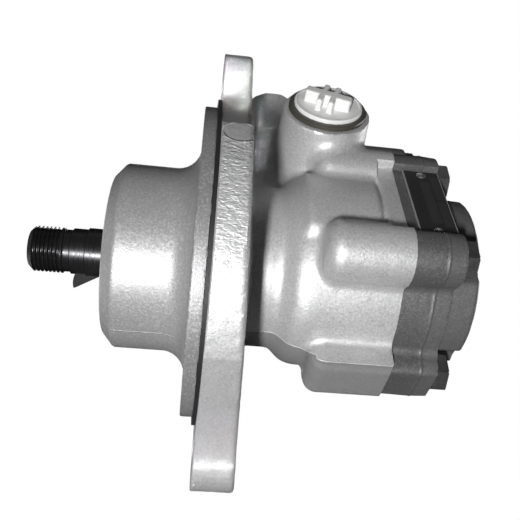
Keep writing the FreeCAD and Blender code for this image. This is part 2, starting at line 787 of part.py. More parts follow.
def valve_spring():
    """Coil spring between the spool's rear land and the plug."""
    start = spool_start_x + spool_length + spring_wire_radius + fit_gap
    length = plug_inner_x - fit_gap - spring_wire_radius - start
    helix = Part.makeHelix(length / spring_turns, length, spring_mean_radius)
    section = Part.makeCircle(spring_wire_radius, Vector(spring_mean_radius, 0, 0), Vector(0, 1, 0))
    coil = Part.Wire(helix).makePipeShell([Part.Wire(section)], True, True)
    coil.rotate(Vector(0, 0, 0), Vector(0, 1, 0), 90)
    return coil.translated(Vector(start, gallery_centre.y, gallery_centre.z))


def plug_groove():
    x = gallery_end_x - plug_groove_offset
    floor = valve_bore_radius - 2 * plug_ring_wire - fit_gap
    return x, floor


def valve_plug():
    """Threaded plug with an inside hexagon, which closes the valve gallery."""
    thread = rod(valve_bore_radius - fit_gap, plug_inner_x, gallery_end_x, gallery_centre)
    head = rod(plug_head_radius, gallery_end_x, gallery_end_x + plug_head_height, gallery_centre)
    socket = hexagon(plug_hex_flats, gallery_end_x + plug_head_height - plug_hex_depth,
                     gallery_end_x + plug_head_height + 1, gallery_centre)
    x, floor = plug_groove()
    groove = sleeve(floor - fit_gap, valve_bore_radius + 1, x - plug_groove_width / 2, x + plug_groove_width / 2,
                    gallery_centre)
    return fused([thread, head]).cut([socket, groove])


def valve_plug_ring():
    x, floor = plug_groove()
    return ring_seal(floor + plug_ring_wire, plug_ring_wire, x, gallery_centre)


def write(name, shape):
    shape.exportStep("parts/" + name + ".step")
    print(name, len(shape.Solids), shape.isValid(), round(shape.Volume, 1))


os.makedirs("parts", exist_ok=True)
write("housing", housing())
write("flange_seal", flange_seal())
write("rear_cover", rear_cover())
write("cover_seal", ring_seal(cover_ring_radius, cover_ring_wire, split_x - cover_ring_wire - fit_gap))
write("cover_bolts", cover_bolts())
write("data_plate", data_plate())
write("plate_rivets", plate_rivets())
write("suction_ring", suction_ring())
write("port_cap", port_cap())
write("drive_shaft", drive_shaft())
write("woodruff_key", woodruff_key())
write("bearing_inner_ring", bearing_inner_ring())
write("bearing_outer_ring", bearing_outer_ring())
write("bearing_balls", bearing_balls())
write("bearing_cage", bearing_cage())
write("bearing_clip", bearing_clip())
write("shaft_seal", shaft_seal())
write("rotor", rotor())
write("vanes", vanes())
write("cam_ring", cam_ring())
write("front_plate", front_plate())
write("rear_plate", rear_plate())
write("front_plate_seal", ring_seal(chamber_radius - plate_ring_wire - fit_gap, plate_ring_wire, plate_groove_x))
write("dowel_pins", dowel_pins())
write("rear_bush", sleeve(core_radius + running_gap, bush_outer_radius, bush_x, bush_x + bush_length))
write("valve_spool", valve_spool())
write("valve_spring", valve_spring())
write("valve_plug", valve_plug())
write("valve_plug_ring", valve_plug_ring())
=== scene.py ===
import math

import bmesh
import bpy
import numpy as np
from mathutils import Matrix, Vector

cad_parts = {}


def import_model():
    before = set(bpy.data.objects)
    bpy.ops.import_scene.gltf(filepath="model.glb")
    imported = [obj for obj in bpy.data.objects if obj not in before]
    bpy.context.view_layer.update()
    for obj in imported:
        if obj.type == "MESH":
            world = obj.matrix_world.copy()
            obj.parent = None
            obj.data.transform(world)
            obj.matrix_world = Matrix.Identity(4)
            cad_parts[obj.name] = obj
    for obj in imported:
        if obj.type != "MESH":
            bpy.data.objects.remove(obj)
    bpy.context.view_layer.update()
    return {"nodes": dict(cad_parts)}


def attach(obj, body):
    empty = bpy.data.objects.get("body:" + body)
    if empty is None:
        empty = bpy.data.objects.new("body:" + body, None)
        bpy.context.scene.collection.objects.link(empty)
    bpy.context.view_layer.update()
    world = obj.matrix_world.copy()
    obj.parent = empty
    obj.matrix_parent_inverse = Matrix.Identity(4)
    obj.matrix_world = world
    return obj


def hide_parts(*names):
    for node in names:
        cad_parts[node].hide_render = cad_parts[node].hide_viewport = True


# Looks of the power steering pump. Sizes are millimetres and angles are degrees in the CAD frame. Meshes are
# made in metres, and materials and lights are stated in metres.
MM = 0.001
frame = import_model()
nodes = frame["nodes"]


# Angles, X places and distances from the shaft axis that several pieces share
LOBES = [2.4 + 72.0 * i for i in range(5)]
LOWER_LOBE = LOBES[4]
LOBE_DISTANCE = 39.5
UNDERSIDE_ANGLE = -57.5
PARTING_ANGLE = -58.0
SUCTION_ANGLE = 38.4
SUCTION_X = 42.1
SUCTION_SIDE = 41.0
GALLERY_ANGLE = 110.4
GALLERY_DISTANCE = 52.2
PRESSURE_X = 23.5
SPLIT_X = 68.3
SEAT_X = 86.5
FACET = 38.6
FACET_HALF = 20.0
INNER_REACH = 20.0


def radial(angle_deg):
    """Unit direction in (y, z) for a clock angle read from -Y towards +Z."""
    a = math.radians(angle_deg)
    return -math.cos(a), math.sin(a)


def clock(angle_deg, distance, x=0.0):
    """Point at a clock angle and a distance from the shaft axis."""
    y, z = radial(angle_deg)
    return Vector((x, y * distance, z * distance))


def turned_to(angle_deg, y, z):
    """Coordinates of (y, z) outward along a clock angle and sideways to it."""
    ry, rz = radial(angle_deg)
    return ry * y + rz * z, rz * y - ry * z


def suction_point(out):
    """Point on the suction port's axis."""
    return clock(SUCTION_ANGLE, out, SUCTION_X) + clock(SUCTION_ANGLE + 90, SUCTION_SIDE)


# Level-set modelling: signed distances, negative inside. In the forms below, t is a distance outward along a
# clock angle and s a distance sideways to it. The last value given to either and both is a radius
def either(a, b, r):
    """Union with a fillet of radius r."""
    return np.maximum(r, np.minimum(a, b)) - np.hypot(np.maximum(r - a, 0), np.maximum(r - b, 0))


def both(a, b, r):
    """Intersection with a rounded edge of radius r."""
    return np.minimum(-r, np.maximum(a, b)) + np.hypot(np.maximum(r + a, 0), np.maximum(r + b, 0))


def outline_distance(points, u, v):
    """Signed distance from a closed outline."""
    best = None
    sign = None
    for (ax, ay), (bx, by) in zip(points, points[1:] + points[:1]):
        ex, ey = bx - ax, by - ay
        wx, wy = u - ax, v - ay
        h = np.clip((wx * ex + wy * ey) / (ex * ex + ey * ey), 0, 1)
        d = (wx - ex * h) ** 2 + (wy - ey * h) ** 2
        c1, c2, c3 = v >= ay, v < by, ex * wy > ey * wx
        flip = (c1 & c2 & c3) | (~c1 & ~c2 & ~c3)
        best = d if best is None else np.minimum(best, d)
        sign = np.where(flip, -1.0, 1.0) if sign is None else sign * np.where(flip, -1.0, 1.0)
    return sign * np.sqrt(best)


def ripple(x, y, z, size):
    """Smooth uneven field of about -1 to 1 with features of that size."""
    k = 2 * math.pi / size
    a = np.sin(k * (0.91 * x + 0.37 * y) + 1.7 * np.sin(k * 0.53 * z + 0.4))
    b = np.sin(k * (0.83 * z - 0.31 * x) + 1.3 * np.sin(k * 0.61 * y + 2.1))
    c = np.sin(k * (0.77 * y + 0.42 * z) + 1.5 * np.sin(k * 0.57 * x + 4.0))
    return (a * b + b * c + c * a) / 2


# Meshing of a signed distance
PROBE = 0.04                # step that slopes are measured over
PULL_TO_CENTRE = 0.08       # keeps a vertex near its cell where the planes leave it free
CELLS_ROUND_EDGE = ((-1, -1), (0, -1), (0, 0), (-1, 0))


def crossings(field, axes):
    """Points where grid lines cross the surface, and the four cells round each of them."""
    cell_shape = tuple(n - 1 for n in field.shape)
    inside = field < 0
    points = []
    cells = []
    for a in range(3):
        b, c = (a + 1) % 3, (a + 2) % 3
        low = [slice(None)] * 3
        high = [slice(None)] * 3
        low[a] = slice(None, -1)
        high[a] = slice(1, None)
        index = np.argwhere(inside[tuple(low)] != inside[tuple(high)])
        after = index.copy()
        after[:, a] += 1
        d0 = field[tuple(index.T)].astype(float)
        d1 = field[tuple(after.T)].astype(float)
        t = d0 / (d0 - d1)
        place = np.stack([axes[k][index[:, k]] for k in range(3)], 1).astype(float)
        place[:, a] += t * (axes[a][after[:, a]] - axes[a][index[:, a]])
        around = []
        for ob, oc in CELLS_ROUND_EDGE:
            cell = index.copy()
            cell[:, b] += ob
            cell[:, c] += oc
            around.append(np.ravel_multi_index(tuple(cell.T), cell_shape))
        around = np.stack(around, 1)
        around[d0 > 0] = around[d0 > 0][:, ::-1]
        points.append(place)
        cells.append(around)
    return np.concatenate(points), np.concatenate(cells)


def slopes(field_at, points):
    """Unit normals of the distance at the points."""
    normal = np.zeros_like(points)
    for k in range(3):
        ahead = points.copy()
        behind = points.copy()
        ahead[:, k] += PROBE
        behind[:, k] -= PROBE
        normal[:, k] = field_at(*ahead.T) - field_at(*behind.T)
    return normal / np.maximum(np.linalg.norm(normal, axis=1, keepdims=True), 1e-9)


def fitted_vertices(points, normal, corners):
    """One vertex for each cell, close to all planes that cross it, so that edges and corners stay crisp."""
    spread = np.repeat(np.arange(len(points)), 4)

    def total(values):
        return np.bincount(corners, weights=values[spread])

    count = np.bincount(corners).astype(float)
    centre = np.stack([total(points[:, k]) for k in range(3)], 1) / count[:, None]
    plane = (normal * points).sum(1)
    squares = np.zeros((len(count), 3, 3))
    for i in range(3):
        for j in range(3):
            squares[:, i, j] = total(normal[:, i] * normal[:, j])
    target = np.stack([total(normal[:, k] * plane) for k in range(3)], 1)
    target -= np.einsum("nij,nj->ni", squares, centre)
    squares += PULL_TO_CENTRE * np.eye(3)
    return centre + np.linalg.solve(squares, target[:, :, None])[:, :, 0]


def surface(name, field_at, xs, ys, zs):
    """Mesh of the surface where the distance is zero, with one vertex in each grid cell that it crosses."""
    axes = (xs, ys, zs)
    size = (len(xs), len(ys), len(zs))
    field = np.broadcast_to(field_at(xs[:, None, None], ys[None, :, None], zs[None, None, :]), size)
    points, cells = crossings(field, axes)
    used, corners = np.unique(cells.ravel(), return_inverse=True)
    vertex = fitted_vertices(points, slopes(field_at, points), corners)
    cell = np.stack(np.unravel_index(used, tuple(n - 1 for n in size)), 1)
    for k in range(3):
        vertex[:, k] = np.clip(vertex[:, k], axes[k][cell[:, k]], axes[k][cell[:, k] + 1])
    mesh = bpy.data.meshes.new(name)
    mesh.from_pydata((vertex * MM).tolist(), [], corners.reshape(-1, 4).tolist())
    mesh.validate()
    mesh.update()
    return mesh


def steps(low, high, pitch, fine=()):
    """Grid lines from low to high, closer inside each (from, to, pitch) of fine."""
    values = [low]
    while values[-1] < high:
        here = values[-1]
        step = pitch
        for start, end, small in fine:
            if start <= here < end:
                step = small
        values.append(here + step)
    return np.array(values, np.float32)


# Mesh helpers
def add(name, mesh, body, material, replaced, smooth_deg=35):
    """Piece of the scene that rides on a body in place of CAD nodes."""
    obj = bpy.data.objects.new(name, mesh)
    bpy.context.scene.collection.objects.link(obj)
    mesh.shade_smooth()
    mesh.set_sharp_from_angle(angle=math.radians(smooth_deg))
    mesh.materials.clear()
    mesh.materials.append(material)
    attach(obj, body)
    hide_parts(*replaced)


def finished(bm, name):
    """Mesh from a bmesh, with its normals turned outward."""
    bmesh.ops.recalc_face_normals(bm, faces=bm.faces)
    mesh = bpy.data.meshes.new(name)
    bm.to_mesh(mesh)
    bm.free()
    return mesh


def ring_point(along, radius, i, segments):
    """Point i of a ring round the X axis."""
    a = 2 * math.pi * i / segments
    return Vector((along, radius * math.cos(a), radius * math.sin(a)))


def lathe(name, profile, origin=(0, 0, 0), axis=(1, 0, 0), segments=128):
    """Closed body of revolution from (distance along axis, radius) points."""
    turn = Vector((1, 0, 0)).rotation_difference(Vector(axis)).to_matrix()
    origin = Vector(origin)
    bm = bmesh.new()
    rings = []
    for along, radius in profile:
        count = segments if radius > 0 else 1
        ring = []
        for i in range(count):
            ring.append(bm.verts.new((origin + turn @ ring_point(along, radius, i, segments)) * MM))
        rings.append(ring)
    for first, second in zip(rings, rings[1:]):
        for i in range(segments):
            j = (i + 1) % segments
            face = [first[i % len(first)], first[j % len(first)]]
            face += [second[j % len(second)], second[i % len(second)]]
            face = list(dict.fromkeys(face))
            if len(face) > 2:
                bm.faces.new(face)
    return finished(bm, name)


def drill(name, radius, start, end, origin=(0, 0, 0), axis=(1, 0, 0), segments=48):
    """Cylinder from start to end along an axis, as a cutter."""
    return lathe(name, [(start, 0), (start, radius), (end, radius), (end, 0)], origin, axis, segments)


def cut(mesh, cutters):
    """Mesh less each cutter mesh."""
    body = bpy.data.objects.new("cut_body", mesh)
    bpy.context.scene.collection.objects.link(body)
    tools = []
    for cutter in cutters:
        tool = bpy.data.objects.new("cut_tool", cutter)
        bpy.context.scene.collection.objects.link(tool)
        tools.append(tool)
        modifier = body.modifiers.new("cut", "BOOLEAN")
        modifier.operation = "DIFFERENCE"
        modifier.solver = "MANIFOLD"
        modifier.object = tool
    depsgraph = bpy.context.evaluated_depsgraph_get()
    result = bpy.data.meshes.new_from_object(body.evaluated_get(depsgraph))
    for obj in tools + [body]:
        bpy.data.objects.remove(obj)
    return result


# Procedural materials
class Nodes:
    """Short names for the nodes of one material. Places and sizes are metres."""

    def __init__(self, name, color, metallic, roughness):
        self.material = bpy.data.materials.new(name)
        self.material.use_nodes = True
        self.tree = self.material.node_tree
        self.shader = self.tree.nodes["Principled BSDF"]
        self.shader.inputs["Base Color"].default_value = (*color, 1)
        self.shader.inputs["Metallic"].default_value = metallic
        self.shader.inputs["Roughness"].default_value = roughness
        self.place = self.new("ShaderNodeTexCoord").outputs["Object"]

    def new(self, kind, **settings):
        node = self.tree.nodes.new(kind)
        for key, value in settings.items():
            setattr(node, key, value)
        return node

    def link(self, source, socket):
        if isinstance(source, (int, float, tuple)):
            socket.default_value = source
        else:
            self.tree.links.new(source, socket)

    def math(self, operation, a, b=0.0):
        node = self.new("ShaderNodeMath", operation=operation)
        for value, socket in zip((a, b), node.inputs):
            self.link(value, socket)
        return node.outputs[0]

    def times(self, first, *others):
        """Product of all the values."""
        return self.math("MULTIPLY", first, self.times(*others)) if others else first

    def length(self, a, b):
        return self.math("SQRT", self.math("ADD", self.times(a, a), self.times(b, b)))

    def off(self, value, centre):
        """Distance of a value from a centre."""
        return self.math("ABSOLUTE", self.math("SUBTRACT", value, centre))

    def noise(self, scale, detail=3.0, rough=0.5, stretch=None, distortion=0.0):
        node = self.new("ShaderNodeTexNoise")
        node.inputs["Scale"].default_value = scale
        node.inputs["Detail"].default_value = detail
        node.inputs["Roughness"].default_value = rough
        node.inputs["Distortion"].default_value = distortion
        place = self.place
        if stretch:
            mapping = self.new("ShaderNodeMapping")
            mapping.inputs["Scale"].default_value = stretch
            self.link(place, mapping.inputs["Vector"])
            place = mapping.outputs[0]
        self.link(place, node.inputs["Vector"])
        return node.outputs["Fac"]

    def spots(self, scale):
        node = self.new("ShaderNodeTexVoronoi")
        node.inputs["Scale"].default_value = scale
        self.link(self.place, node.inputs["Vector"])
        return node.outputs["Distance"]

    def fit(self, value, low, high, out_low=0.0, out_high=1.0):
        """Value between low and high, mapped to out_low to out_high and held there."""
        node = self.new("ShaderNodeMapRange")
        node.clamp = True
        self.link(value, node.inputs["Value"])
        self.link(low, node.inputs["From Min"])
        self.link(high, node.inputs["From Max"])
        self.link(out_low, node.inputs["To Min"])
        self.link(out_high, node.inputs["To Max"])
        return node.outputs[0]

    def mix(self, factor, a, b):
        node = self.new("ShaderNodeMix", data_type="RGBA")
        self.link(factor, node.inputs["Factor"])
        for value, socket in ((a, node.inputs[6]), (b, node.inputs[7])):
            self.link((*value, 1.0) if isinstance(value, tuple) else value, socket)
        return node.outputs[2]

    def xyz(self):
        node = self.new("ShaderNodeSeparateXYZ")
        self.link(self.place, node.inputs[0])
        return node.outputs

    def out_along(self, angle_deg, y, z):
        """Distance outward along a clock angle, and sideways to it."""
        ry, rz = radial(angle_deg)
        out = self.math("ADD", self.times(y, ry), self.times(z, rz))
        side = self.math("SUBTRACT", self.times(y, rz), self.times(z, ry))
        return out, side

    def color(self, value):
        self.link(value, self.shader.inputs["Base Color"])

    def roughness(self, value):
        self.link(value, self.shader.inputs["Roughness"])

    def bump(self, *layers):
        """Bump from (height, strength, distance in metres) layers, stacked."""
        normal = None
        for height, strength, distance in layers:
            node = self.new("ShaderNodeBump")
            node.inputs["Strength"].default_value = strength
            node.inputs["Distance"].default_value = distance
            self.link(height, node.inputs["Height"])
            if normal:
                self.link(normal, node.inputs["Normal"])
            normal = node.outputs[0]
        self.link(normal, self.shader.inputs["Normal"])


def cast_aluminium():
    """Blasted casting with a wrinkled flange edge, a parting line, nicks and a round ejector mark, with
    painted shade in the wrinkles' hollows and a painted highlight on the upper arc of the mark's lip.
    """
    m = Nodes("cast_aluminium", (0.6, 0.6, 0.61), 0.45, 0.5)
    x, y, z = m.xyz()
    rho = m.length(y, z)
    cloud = m.noise(45, 4, 0.55)
    grain = m.noise(1300, 3, 0.6)
    fine = m.noise(3200, 2, 0.6)
    wrinkle = m.noise(1050, 2, 0.5, (0.5, 1.0, 1.0), 0.5)
    # Where the flange's edge, the pilot and the hub are
    flange_edge = m.fit(rho, 0.0635, 0.065)
    rim = m.times(flange_edge, m.fit(x, -0.0005, 0.0005), m.fit(x, 0.022, 0.02))
    rim = m.times(rim, m.fit(z, -0.02, 0.02), m.fit(z, 0.039, 0.037))
    pilot = m.times(m.fit(x, -0.0012, -0.0016), m.fit(rho, 0.058, 0.0585))
    hub = m.times(m.fit(x, 0.001, -0.001), m.fit(rho, 0.0595, 0.058))
    # Cloudy grey, darker in front, with light and dark grains
    tone = m.mix(m.fit(cloud, 0.3, 0.7), (0.55, 0.55, 0.555), (0.62, 0.62, 0.625))
    tone = m.mix(m.times(hub, 0.75), tone, (0.40, 0.40, 0.405))
    tone = m.mix(pilot, tone, (0.30, 0.30, 0.305))
    tone = m.mix(m.fit(grain, 0.5, 0.75, 0.0, 0.4), tone, (0.9, 0.9, 0.9))
    tone = m.mix(m.fit(grain, 0.47, 0.25, 0.0, 0.4), tone, (0.25, 0.25, 0.25))
    # Painted shade: the wrinkles' hollows on the flange's edge are darkened in colour where the bump is low
    tone = m.mix(m.times(rim, m.fit(wrinkle, 0.5, 0.35, 0.0, 0.5)), tone, (0.3, 0.3, 0.31))
    nick = m.times(m.fit(m.spots(75), 0.055, 0.03), m.fit(m.noise(220, 2), 0.56, 0.62))
    tone = m.mix(m.times(nick, 0.8), tone, (0.95, 0.95, 0.95))
    # Parting line, with a darker tone below it
    out, side = m.out_along(PARTING_ANGLE, y, z)
    outside = m.times(m.fit(out, 0.002, 0.004), m.fit(rho, 0.056, 0.055))
    side = m.math("SUBTRACT", side, m.fit(rho, 0.0385, 0.043, 0.0, 0.0042))
    below = m.times(m.fit(x, 0.0, 0.002), m.fit(side, 0.0002, -0.0002), outside)
    tone = m.mix(m.times(below, 0.6), tone, (0.22, 0.22, 0.223))
    line = m.times(m.fit(m.math("ABSOLUTE", side), 0.0003, 0.0001), outside)
    tone = m.mix(m.times(line, m.fit(x, -0.001, 0.001, 0.12, 0.7)), tone, (0.97, 0.97, 0.97))
    # Ejector mark on the flange's edge: a disc with a lip, and a painted highlight on the lip's upper arc
    mark_x = m.math("DIVIDE", m.math("SUBTRACT", x, 0.0063), 0.0058)
    mark_z = m.math("DIVIDE", m.math("SUBTRACT", z, 0.0347), 0.0040)
    mark = m.length(mark_x, mark_z)
    front_rim = m.times(flange_edge, m.fit(y, 0.0, -0.001))
    disc = m.times(m.fit(mark, 1.06, 0.98), front_rim)
    lip = m.times(m.fit(m.off(mark, 1.03), 0.09, 0.03), front_rim)
    tone = m.mix(m.times(disc, 0.5), tone, (0.38, 0.38, 0.38))
    # Painted highlight: the lip is lighter on its upper arc than on its lower arc
    tone = m.mix(m.times(lip, m.fit(z, 0.0335, 0.0355, 0.1, 0.6)), tone, (0.9, 0.9, 0.9))
    wrinkle = m.times(wrinkle, m.math("SUBTRACT", 1.0, disc))
    m.color(tone)
    m.roughness(m.fit(grain, 0.3, 0.7, 0.4, 0.55))
    m.bump((line, 0.6, 0.0003), (m.times(wrinkle, rim), 0.8, 0.0008), (lip, 0.6, 0.0003),
           (grain, 0.45, 0.0002), (fine, 0.35, 0.00007))
    return m.material


def cover_iron():
    """Dark casting, lighter behind the seam of its mould."""
    m = Nodes("cover_iron", (0.16, 0.16, 0.165), 0.45, 0.5)
    x = m.xyz()[0]
    cloud = m.noise(50, 3, 0.5)
    grain = m.noise(1500, 3, 0.65)
    pits = m.noise(600, 3, 0.6)
    seam = m.fit(m.off(x, 0.0802), 0.0003, 0.0001)
    tone = m.mix(m.fit(cloud, 0.3, 0.7), (0.12, 0.12, 0.122), (0.155, 0.155, 0.157))
    tone = m.mix(m.fit(grain, 0.5, 0.75, 0.0, 0.45), tone, (0.34, 0.34, 0.34))
    tone = m.mix(m.fit(grain, 0.45, 0.25, 0.0, 0.4), tone, (0.06, 0.06, 0.06))
    tone = m.mix(m.times(seam, 0.5), tone, (0.04, 0.04, 0.04))
    tone = m.mix(m.fit(x, 0.0799, 0.0801, 0.0, 0.25), tone, (0.26, 0.26, 0.26))
    m.color(tone)
    m.roughness(m.fit(grain, 0.3, 0.7, 0.4, 0.6))
    m.bump((pits, 0.25, 0.0003), (grain, 0.3, 0.00012))
    return m.material


def plain_metal(name, color, metallic, roughness):
    m = Nodes(name, color, metallic, roughness)
    fine = m.noise(1500, 3, 0.6)
    low = tuple(c * 0.82 for c in color)
    high = tuple(min(1.0, c * 1.2) for c in color)
    m.color(m.mix(m.fit(m.noise(260, 4, 0.6), 0.3, 0.7), low, high))
    m.roughness(m.fit(fine, 0.3, 0.7, roughness - 0.07, roughness + 0.07))
    m.bump((fine, 0.06, 0.0001))
    return m.material


def turned_metal(name, color, metallic, roughness):
    """Metal with fine marks around the shaft axis."""
    m = Nodes(name, color, metallic, roughness)
    lines = m.noise(2200, 3, 0.6, (1.0, 0.012, 0.012))
    blot = m.noise(120, 4, 0.6)
    low = tuple(c * 0.7 for c in color)
    high = tuple(min(1.0, c * 1.35) for c in color)
    m.color(m.mix(m.fit(blot, 0.3, 0.7), low, high))
    m.roughness(m.fit(lines, 0.3, 0.7, roughness - 0.08, roughness + 0.1))
    m.bump((lines, 0.12, 0.00012))
    return m.material


def moulded(name, color, roughness, grain=600, strength=0.08):
    m = Nodes(name, color, 0.0, roughness)
    fine = m.noise(grain, 3, 0.5)
    low = tuple(c * 0.93 for c in color)
    m.color(m.mix(m.fit(m.noise(90, 3), 0.3, 0.7), low, color))
    m.roughness(m.fit(fine, 0.3, 0.7, roughness - 0.06, roughness + 0.06))
    m.bump((fine, strength, 0.0001))
    return m.material


def plate_print():
    """Blank data plate: dark fields, thin light rules."""
    m = Nodes("plate_print", (0.02, 0.02, 0.022), 0.3, 0.38)
    x, y, z = m.xyz()
    side = m.out_along(SUCTION_ANGLE, y, z)[1]
    across = m.math("SUBTRACT", x, 0.079)

    def box(centre_x, half_x, centre_side, half_side):
        edge = 0.00012
        dx = m.math("SUBTRACT", m.off(across, centre_x), half_x)
        ds = m.math("SUBTRACT", m.off(side, centre_side), half_side)
        return m.fit(m.math("MAXIMUM", dx, ds), edge, -edge)

    field = m.math("MAXIMUM", box(0.0003, 0.0019, 0.0, 0.0125), box(0.0046, 0.0017, -0.0068, 0.0072))
    field = m.math("MAXIMUM", field, box(0.0046, 0.0017, 0.0088, 0.0072))
    tone = m.mix(m.fit(m.noise(900, 2), 0.3, 0.7), (0.018, 0.018, 0.02), (0.03, 0.03, 0.032))
    tone = m.mix(m.times(field, 0.8), tone, (0.045, 0.045, 0.048))
    inner = box(0.0, 0.0067, 0.0, 0.0192)
    m.color(m.mix(inner, (0.4, 0.4, 0.4), tone))
    m.bump((m.noise(1400, 2), 0.1, 0.0001))
    return m.material


ALUMINIUM = cast_aluminium()
IRON = cover_iron()
BLACK_STEEL = turned_metal("black_steel", (0.035, 0.035, 0.037), 0.7, 0.3)
BOLT_STEEL = plain_metal("bolt_steel", (0.24, 0.24, 0.243), 0.9, 0.34)
KEY_STEEL = plain_metal("key_steel", (0.02, 0.02, 0.021), 0.2, 0.8)
RUBBER = moulded("seal_rubber", (0.012, 0.012, 0.013), 0.6)
RING_PLASTIC = moulded("ring_plastic", (0.062, 0.058, 0.048), 0.4)
CAP_PLASTIC = moulded("cap_plastic", (0.86, 0.86, 0.85), 0.35, 400, 0.04)
PLATE = plate_print()
BRIGHT = plain_metal("bright_metal", (0.6, 0.6, 0.6), 0.9, 0.25)
BEARING = turned_metal("bearing_steel", (0.55, 0.55, 0.56), 0.95, 0.2)
PUMP_STEEL = turned_metal("pump_steel", (0.48, 0.48, 0.5), 0.95, 0.28)
PLATE_IRON = turned_metal("plate_iron", (0.3, 0.3, 0.31), 0.85, 0.38)
SPRING = plain_metal("spring_steel", (0.14, 0.14, 0.145), 0.85, 0.35)
BRONZE = turned_metal("bronze", (0.55, 0.36, 0.16), 0.95, 0.3)
CAGE = moulded("cage_plastic", (0.5, 0.45, 0.34), 0.45)
PLUG = plain_metal("plug_steel", (0.5, 0.5, 0.51), 0.9, 0.3)

FINISH = {
    "housing": ALUMINIUM, "rear_cover": IRON, "cover_bolts": BOLT_STEEL,
    "data_plate": PLATE, "plate_rivets": BRIGHT,
    "flange_seal": RUBBER, "cover_seal": RUBBER, "front_plate_seal": RUBBER,
    "valve_plug_ring": RUBBER, "shaft_seal": RUBBER,
    "suction_ring": RING_PLASTIC, "port_cap": CAP_PLASTIC,
    "drive_shaft": BLACK_STEEL, "woodruff_key": KEY_STEEL, "dowel_pins": BEARING,
    "bearing_inner_ring": BEARING, "bearing_outer_ring": BEARING, "bearing_balls": BEARING,
    "bearing_cage": CAGE, "bearing_clip": SPRING, "rear_bush": BRONZE,
    "rotor": PUMP_STEEL, "vanes": PUMP_STEEL, "cam_ring": PUMP_STEEL,
    "front_plate": PLATE_IRON, "rear_plate": PLATE_IRON,
    "valve_spool": PUMP_STEEL, "valve_spring": SPRING, "valve_plug": PLUG,
}
for node, material in FINISH.items():
    nodes[node].data.materials.clear()
    nodes[node].data.materials.append(material)


# Housing casting
FLANGE_RADIUS = 66.0
FLANGE_ARC_END_Z = 38.5
FLANGE_REAR = 14.3
ROOF_SLOPE_Y = 0.05066
ROOF_SLOPE_Z = 0.02706
ROOF_RIDGE_HALF = 3.0
EAR_CENTRE = 72.5
EAR_RADIUS = 14.5
EAR_HOLE_Z = 73.0
EAR_HOLE_RADIUS = 6.5
HUB_RADIUS = 35.8
HUB_FRONT = -37.7
CONE_X = -33.4
CONE_RUN = 5.0
CONE_RISE = 4.3
CONE_LENGTH = 6.594
PILOT_RADIUS = 60.0
PILOT_FRONT = -6.0
PILOT_REAR = -1.4
SEAL_FLOOR_RADIUS = 56.5
WALL_HALF_THICKNESS = 3
LOBE_RADIUS = 11.0
LOBE_NOSE_X = 38.2
UNDERSIDE_REACH = 46.3
UNDERSIDE_HALF = 8.0
UNDERSIDE_SHIFT = 3.0
UNDERSIDE_INNER = 30
SWELL_RADIUS = 39.6
SWELL_HALF = 17.0
SWELL_FRONT = 33.0
SWELL_REAR = 60.5
PAD_FRONT = 61.5
SUCTION_RADIUS = 17.3
SUCTION_RADIUS_AT = 48.3
SUCTION_TAPER = 0.0612
SUCTION_TOP = 49.3
SUCTION_SEAT = 44.3
REAR_START = 5
REAR_FACE_RADIUS = 50.5
GALLERY_RADIUS = 12.0
GALLERY_FRONT = 8.0
GALLERY_REAR = 82.0
PRESSURE_RADIUS = 11.0
PRESSURE_TOP = 83.5
WEB_HALF = 8.0
WEB_INNER = 27.7
SLANT = 0.998               # share of a slanting distance that is square to its face
FAR_INSIDE = -1e3


def arc_points(centre, radius, start_deg, end_deg, count):
    out = []
    for i in range(count + 1):
        a = math.radians(start_deg + (end_deg - start_deg) * i / count)
        out.append((centre[0] + radius * math.cos(a), centre[1] + radius * math.sin(a)))
    return out


def bend_points(start, corner, end, count=8):
    """Curve that rounds a corner, from start to end."""
    out = []
    for i in range(count + 1):
        f = i / count
        weights = ((1 - f) ** 2, 2 * f * (1 - f), f * f)
        out.append(tuple(sum(w * p[k] for w, p in zip(weights, (start, corner, end))) for k in (0, 1)))
    return out


def mirrored(points):
    return [(-y, z) for y, z in reversed(points)]


def flange_points():
    """Flange outline in (y, z), anticlockwise."""
    corner = math.degrees(math.asin(FLANGE_ARC_END_Z / FLANGE_RADIUS))
    neck = bend_points((21.6, 55.3), (EAR_RADIUS, 59.0), (EAR_RADIUS, 67.0))
    foot = bend_points((13.9, -76.6), (EAR_RADIUS, -71.0), (21.5, -65.2))
    points = arc_points((0, 0), FLANGE_RADIUS, -corner, corner, 24)
    points += neck + arc_points((0, EAR_CENTRE), EAR_RADIUS, 0, 180, 18) + mirrored(neck)
    points += arc_points((0, 0), FLANGE_RADIUS, 180 - corner, 180 + corner, 24)
    points += mirrored(foot) + arc_points((0, -EAR_CENTRE), EAR_RADIUS, 200, 340, 14) + foot
    return points


FLANGE_POINTS = flange_points()
BARREL_X = [0, 26.2, 30.8, 35.0, 80]
BARREL_RADIUS = [31.7, 31.7, 36.4, 37.7, 37.7]
PROFILE_STEP = 0.1
PROFILE_SMOOTHING = 1.3
PROFILE_X = np.arange(0.0, 80.0, PROFILE_STEP)


def body_radius_table():
    """Barrel radius at each place of PROFILE_X, with its corners rounded."""
    radius = np.interp(PROFILE_X, BARREL_X, BARREL_RADIUS)
    half = 40
    reach = np.arange(-half, half + 1) * PROFILE_STEP
    weight = np.exp(-0.5 * (reach / PROFILE_SMOOTHING) ** 2)
    padded = np.pad(radius, half, mode="edge")
    return np.convolve(padded, weight / weight.sum(), "valid")


BODY_RADIUS = body_radius_table()
BODY_SLOPE = np.gradient(BODY_RADIUS, PROFILE_X)


def flat_lobe(lobe, y, z):
    """Lower lobe with a flat under-face and a ridge along the casting's parting line."""
    t, s = turned_to(UNDERSIDE_ANGLE, y, z)
    corner = both(np.abs(s + UNDERSIDE_SHIFT) - UNDERSIDE_HALF, t - UNDERSIDE_REACH + 0.6, 0.6)
    corner = np.maximum(corner, UNDERSIDE_INNER - t)
    return both(either(lobe, corner, 2.0), t - UNDERSIDE_REACH, 0.9)


